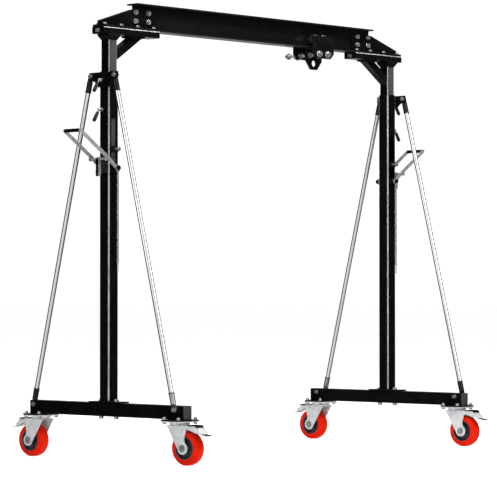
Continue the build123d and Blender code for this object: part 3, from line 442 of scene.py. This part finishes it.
# ------------------------------------------------------------------ castors
for name, side in SIDES.items():
    for end_name, end in ENDS.items():
        label = f"{name}_{end_name}"
        heading = math.radians(90 * end + CASTOR_TURN)
        along = Vector((math.cos(heading), math.sin(heading), 0))
        across = Vector((-along.y, along.x, 0))
        swivel = Vector((side * MAST_X, end * CASTOR_Y, AXLE_Z))
        hub = swivel + along * CASTOR_TRAIL
        rounded(f"{label}_castor_fork", 0.0012, [ZINC])
        rounded(f"{label}_wheel_axle", 0.0006, [STEEL])

        def pedal_part(centre, s=swivel, a=along):
            local = centre - s
            return int(local.dot(a) > 0.131 or local.z > 0.0925 and local.dot(a) > 0.052)

        rounded(f"{label}_castor_pedal", 0.0009, [ZINC, BLACK], pedal_part)

        # black moulded pad on the pedal's top, with a raised rim and grip ribs
        def lying(points, low, high):
            return [[swivel + along * p[0] + across * w + Vector((0, 0, p[1])) for p in points]
                    for w in (low, high)]

        show(f"{label}_pedal_pad", grid_mesh("pad", lying(
            [(0.066, 0.0972), (0.103, 0.0972), (0.1085, 0.0935), (0.1112, 0.0904), (0.1146, 0.0930),
             (0.1105, 0.0985), (0.1045, 0.1008), (0.066, 0.1008)], -0.0245, 0.0245)),
            f"{label}_pedal", [RUBBER])
        for rib in range(7):
            at = 0.070 + 0.005 * rib
            show(f"{label}_pedal_rib_{rib}", grid_mesh("rib", lying(
                [(at, 0.1006), (at + 0.0022, 0.1006), (at + 0.0018, 0.1018), (at + 0.0004, 0.1018)],
                -0.0225, 0.0225)), f"{label}_pedal", [RUBBER])
        for way in (-1, 1):
            show(f"{label}_pedal_skirt_{'out' if way > 0 else 'in'}", grid_mesh("skirt", lying(
                [(0.070, 0.0950), (0.104, 0.0950), (0.1235, 0.0725), (0.1300, 0.0640), (0.1240, 0.0610),
                 (0.1100, 0.0690), (0.0900, 0.0790), (0.070, 0.0820)],
                min(way * 0.0215, way * 0.0235), max(way * 0.0215, way * 0.0235))),
                f"{label}_pedal", [ZINC])

        # wheel: tread with shoulders and mould lines, core with a dished web and hub
        tread = turned(f"{label}_tread.look", [
            (-0.0280, 0.0500), (-0.0280, 0.0590), (-0.0276, 0.0625), (-0.0260, 0.0670), (-0.0232, 0.0710),
            (-0.0190, 0.0737), (-0.0130, 0.0748), (-0.0006, 0.0750), (0, 0.0748), (0.0006, 0.0750),
            (0.0130, 0.0748), (0.0190, 0.0737), (0.0232, 0.0710), (0.0260, 0.0670), (0.0276, 0.0625),
            (0.0280, 0.0590), (0.0280, 0.0500)], hub, across, f"{label}_wheel", TREAD, 96)
        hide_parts(f"{label}_wheel_tread")
        core = turned(f"{label}_core.look", [
            (-0.0347, 0.0062), (-0.0347, 0.0150), (-0.0335, 0.0172), (-0.0180, 0.0180), (-0.0080, 0.0215),
            (-0.0060, 0.0260), (-0.0060, 0.0375), (-0.0090, 0.0415), (-0.0240, 0.0440), (-0.0268, 0.0448),
            (-0.0276, 0.0460), (-0.0276, 0.0498), (0.0276, 0.0498), (0.0276, 0.0460), (0.0268, 0.0448),
            (0.0240, 0.0440), (0.0090, 0.0415), (0.0060, 0.0375), (0.0060, 0.0260), (0.0080, 0.0215),
            (0.0180, 0.0180), (0.0335, 0.0172), (0.0347, 0.0150), (0.0347, 0.0062)],
            hub, across, f"{label}_wheel", CORE, 72)
        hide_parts(f"{label}_wheel_core")
        for way in (-1, 1):
            turned(f"{label}_bearing_{'out' if way > 0 else 'in'}",
                   [(0, 0.0070), (0, 0.0165), (0.0012, 0.0160), (0.0014, 0.0130), (0.0008, 0.0124),
                    (0.0008, 0.0092), (0.0012, 0.0088), (0.0012, 0.0070)],
                   hub + across * way * 0.0334, across * way, f"{label}_wheel", HUB, 48)
            # big washer between the fork leg and the axle bolt
            turned(f"{label}_washer_{'out' if way > 0 else 'in'}",
                   [(0, 0.0125), (0, 0.0168), (0.0008, 0.0175), (0.0022, 0.0170), (0.0022, 0.0125)],
                   hub + across * way * 0.0399, across * way, f"{label}_castor", STEEL, 40)
        # ball race and its seal under the top plate
        turned(f"{label}_race_seal",
               [(0, 0.034), (0, 0.0425), (0.0012, 0.0440), (0.0030, 0.0432), (0.0030, 0.034)],
               swivel + Vector((0, 0, 0.0962)), (0, 0, 1), f"{label}_castor", STEEL, 56)
        # grease nipple on the front of the ball race
        turned(f"{label}_grease_nipple",
               [(0, 0.0030), (0.0020, 0.0030), (0.0025, 0.0019), (0.0040, 0.0019), (0.0048, 0.0027),
                (0.0058, 0.0024), (0.0064, 0.0010)],
               swivel + along * -0.0398 + Vector((0, 0, 0.106)), -along, f"{name}_frame", STEEL, 20)

# ------------------------------------------------------------------ levers and small gear
for name, side in SIDES.items():
    x = side * MAST_X
    rounded(f"{name}_lever", 0.0006, [LEVER_ZINC])
    rounded(f"{name}_lever_grip", 0.0, [RUBBER])
    rounded(f"{name}_climbing_dog", 0.0007, [LEVER_ZINC, BLACK], lambda c: int(c.z < LEVER_Z + 0.012))
    rounded(f"{name}_lock_pin", 0.0004, [STEEL])
    rounded(f"{name}_safety_chain", 0.0, [STEEL])
    for which in ("upper", "lower"):
        z = OUTER_TOP - (UPPER_CLAMP_DROP if which == "upper" else LOWER_CLAMP_DROP)
        rounded(f"{name}_{which}_clamp", 0.0005, [STEEL, HUB, PLASTIC],
                lambda c, s=side, z=z: 0 if c.x * s < MAST_X + 0.060 else 1 if c.z > z - 0.016 else 2)
        knob = Vector((x + side * 0.062, 0, z))
        run = Vector((side * 0.030, 0, -0.050))
        turned(f"{name}_{which}_clamp_grip",
               [(0, 0.0066), (0.0012, 0.0072), (0.010, 0.0076), (0.024, 0.0083), (0.034, 0.0086),
                (0.040, 0.0082), (0.044, 0.0070), (0.0462, 0.0045), (0.0468, 0.0010)],
               knob + run * 0.30, run, f"{name}_{which}_clamp", PLASTIC, 28)
        face = 0.036 + 0.012 if which == "upper" else 0.030 + 0.012
        threaded(f"{name}_{which}_clamp_thread", (x + side * (face + 0.0055), 0, z), (side, 0, 0), 0.0064,
                 0.0018, 0.060 - face - 0.0055, f"{name}_{which}_clamp", STEEL, 18)

# ------------------------------------------------------------------ beam
def inner_part(c):
    """The broad front and back faces of the inner masts, in a lighter grey that is painted light, their
    corners, with a painted highlight, and the collar above them.
    """
    if c.z > HEAD_BOTTOM - 0.0225:
        return 1
    over = abs(abs(c.x) - MAST_X)
    if over > 0.0215 and abs(c.y) > 0.0215:
        return 3
    return 2 if abs(c.y) > 0.0245 else 0


def head_part(c):
    """The stop bolts in the two ends, and the upper edges, which get a painted highlight."""
    if abs(c.x) > MAST_X + 0.0681 or abs(c.x) < MAST_X - 0.2821:
        return 1
    # the upper edges take the light grey of a painted highlight
    return 2 if abs(c.y) > 0.0343 and HEAD_TOP - 0.0038 < c.z < HEAD_TOP - 0.0001 else 0


rounded("i_beam", 0.0010, [BEAM])
rounded("inner_masts", 0.0008, [SATIN, BLACK, PAINTED_LIGHT_FACE, PAINTED_HIGHLIGHT], inner_part)
rounded("head_channels", 0.0009, [BLACK, STEEL, PAINTED_HIGHLIGHT], head_part)
rounded("knee_braces", 0.0009, [BLACK])
rounded("gusset_plates", 0.0009, [BLACK])
rounded("beam_bolts", 0.0005, [STEEL])
beads = Beads()
for side in SIDES.values():
    x = side * MAST_X
    beads.rectangle((x, 0, HEAD_BOTTOM - 0.0005), 0.0358, 0.0358, 0.0022)
    beads.rectangle((x, 0, HEAD_BOTTOM - 0.0222), 0.0262, 0.0262, 0.0022)
    foot_z = OUTER_TOP + 0.072
    for across in (-1, 1):
        y = across * 0.0192
        lean = 0.019 / KNEE_COSINE
        beads.run([(x - side * 0.0255, y, foot_z - lean), (x - side * 0.0255, y, foot_z + lean)], 0.0022)
    for lean in (-0.0229, 0.0229):
        beads.run([(x - side * 0.0255, -0.019, foot_z + lean),
                   (x - side * 0.0255, 0.019, foot_z + lean)], 0.0022)
    top_x = MAST_X - 0.025 - (HEAD_BOTTOM - 0.007 - foot_z) / KNEE_SLOPE
    for along in (-0.034, 0.034):
        beads.run([(side * (top_x + along), -0.019, HEAD_BOTTOM - 0.0075),
                   (side * (top_x + along), 0.019, HEAD_BOTTOM - 0.0075)], 0.0022)
    for across in (-1, 1):
        beads.run([(side * (top_x - 0.034), across * 0.0192, HEAD_BOTTOM - 0.0075),
                   (side * (top_x + 0.034), across * 0.0192, HEAD_BOTTOM - 0.0075)], 0.0022)
beads.show("beam_welds", "beam")

# ------------------------------------------------------------------ trolley
rounded("trolley_side_plates", 0.0010, [BLACK])
rounded("hanger_plate", 0.0015, [BLACK])
rounded("roller_pins", 0.0006, [SLEEVE])
for end_name in ENDS:
    for which in SIDES:
        rounded(f"trolley_{end_name}_{which}_roller", 0.0010, [HUB])
rounded("spreader_axles", 0.0007, [STEEL])
for which, dx in (("left", -0.031), ("right", 0.031)):
    for label, start, length in (("rear", 0.0800, 0.0700), ("middle_front", -0.0415, 0.0170),
                                 ("middle_rear", 0.0245, 0.0170)):
        threaded(f"spreader_{which}_{label}_thread", (TROLLEY_X + dx, start, SPREADER_Z), (0, 1, 0), 0.0084,
                 0.0020, length, "trolley", CHROME, 22)

for dx in (-0.031, 0.031):
    for y, way in ((-0.0641, -1), (0.0641, 1)):
        turned(f"spreader_washer_{'left' if dx < 0 else 'right'}_{'front' if way < 0 else 'rear'}",
               [(0, 0.0086), (0, 0.0172), (0.0008, 0.0178), (0.0022, 0.0176), (0.0026, 0.0168),
                (0.0026, 0.0086)],
               (TROLLEY_X + dx, y, SPREADER_Z), (0, way, 0), "trolley", STEEL, 40)

# ------------------------------------------------------------------ surroundings
floor = bpy.data.meshes.new("floor")
floor.from_pydata([(-90, -90, 0), (90, -90, 0), (90, 90, 0), (-90, 90, 0)], [], [(0, 1, 2, 3)])
ground = bpy.data.objects.new("floor", floor)
bpy.context.scene.collection.objects.link(ground)
pale = surface("floor_paint", (0.90, 0.90, 0.90), (0.93, 0.93, 0.93), 0.8, specular=0.05, cloud=0.4, grain=60,
               bump=0.02)
pale.node_tree.nodes["Principled BSDF"].inputs["Emission Color"].default_value = (1, 1, 1, 1)
pale.node_tree.nodes["Principled BSDF"].inputs["Emission Strength"].default_value = 0.60
floor.materials.append(pale)
# polished metal shows the studio below the horizon too, rather than an endless white floor
ground.visible_glossy = False

world = bpy.data.worlds.new("studio")
bpy.context.scene.world = world
world.use_nodes = True
sky = world.node_tree
sky.nodes.clear()
way = node(sky, "ShaderNodeTexCoord")
parts = node(sky, "ShaderNodeSeparateXYZ")
link(sky, way.outputs["Generated"], parts.inputs["Vector"])


def reckon(operation, *values):
    made = sky.nodes.new("ShaderNodeMath")
    made.operation = operation
    for k, value in enumerate(values):
        if isinstance(value, (int, float)):
            made.inputs[k].default_value = value
        else:
            link(sky, value, made.inputs[k])
    return made.outputs["Value"]


# bright in front of the crane and behind it, dark to its two sides, so that round metal gets dark edges
turn = reckon("ARCTAN2", parts.outputs["Y"], parts.outputs["X"])
facing = reckon("COSINE", reckon("SUBTRACT", turn, math.radians(VIEW_HEADING + 180)))
front = ranged(sky, facing, 0.0, 1.0, 0.22, 0.52)
behind = ranged(sky, facing, 1.0, 0.0, -0.93, -0.78)
round_about = ranged(sky, reckon("MAXIMUM", front, behind), 0.03, 1.05, 0.0, 1.0)
high = ranged(sky, reckon("ABSOLUTE", parts.outputs["Z"]), 0.0, 1.0, 0.25, 0.75)
low_part = reckon("MULTIPLY", round_about, reckon("SUBTRACT", 1.0, high))
level = reckon("ADD", low_part, reckon("MULTIPLY", high, 0.35))
# rays straight from the camera see a plain white studio
seen = node(sky, "ShaderNodeLightPath").outputs["Is Camera Ray"]
level = reckon("MAXIMUM", level, seen)
glow = node(sky, "ShaderNodeBackground", Color=(1, 1, 1, 1))
link(sky, level, glow.inputs["Strength"])
out_node = node(sky, "ShaderNodeOutputWorld")
link(sky, glow.outputs["Background"], out_node.inputs["Surface"])


def panel(name, place, target, size, power):
    lamp = bpy.data.lights.new(name, "AREA")
    lamp.shape = "RECTANGLE"
    lamp.size, lamp.size_y = size
    lamp.energy = power
    obj = bpy.data.objects.new(name, lamp)
    obj.location = place
    obj.rotation_mode = "QUATERNION"
    obj.rotation_quaternion = (Vector(target) - Vector(place)).to_track_quat("-Z", "Y")
    bpy.context.scene.collection.objects.link(obj)


panel("key", (1.5, -7.5, 4.5), (0, 0, 1.0), (3.0, 3.0), 150)
panel("strip", (0.3, -1.2, 4.2), (0, 0, 1.9), (4.5, 0.35), 260)
panel("fill", (-8.0, 1.5, 3.5), (0, 0, 1.0), (2.5, 3.5), 60)
panel("top", (0, 0, 6.0), (0, 0, 0), (5.0, 2.5), 60)

camera = bpy.data.cameras.new("camera")
camera.lens = 189.779
camera.sensor_width = 36
camera.clip_end = 300
eye = bpy.data.objects.new("camera", camera)
eye.location = (-9.084, -8.349, 0.753)
pitch = math.radians(1.1)
heading = math.radians(VIEW_HEADING)
ahead = Vector((math.cos(heading) * math.cos(pitch), math.sin(heading) * math.cos(pitch), math.sin(pitch)))
eye.rotation_mode = "QUATERNION"
eye.rotation_quaternion = ahead.to_track_quat("-Z", "Y")
bpy.context.scene.collection.objects.link(eye)
bpy.context.scene.camera = eye
bpy.context.scene.view_settings.view_transform = "Standard"

bpy.context.view_layer.update()
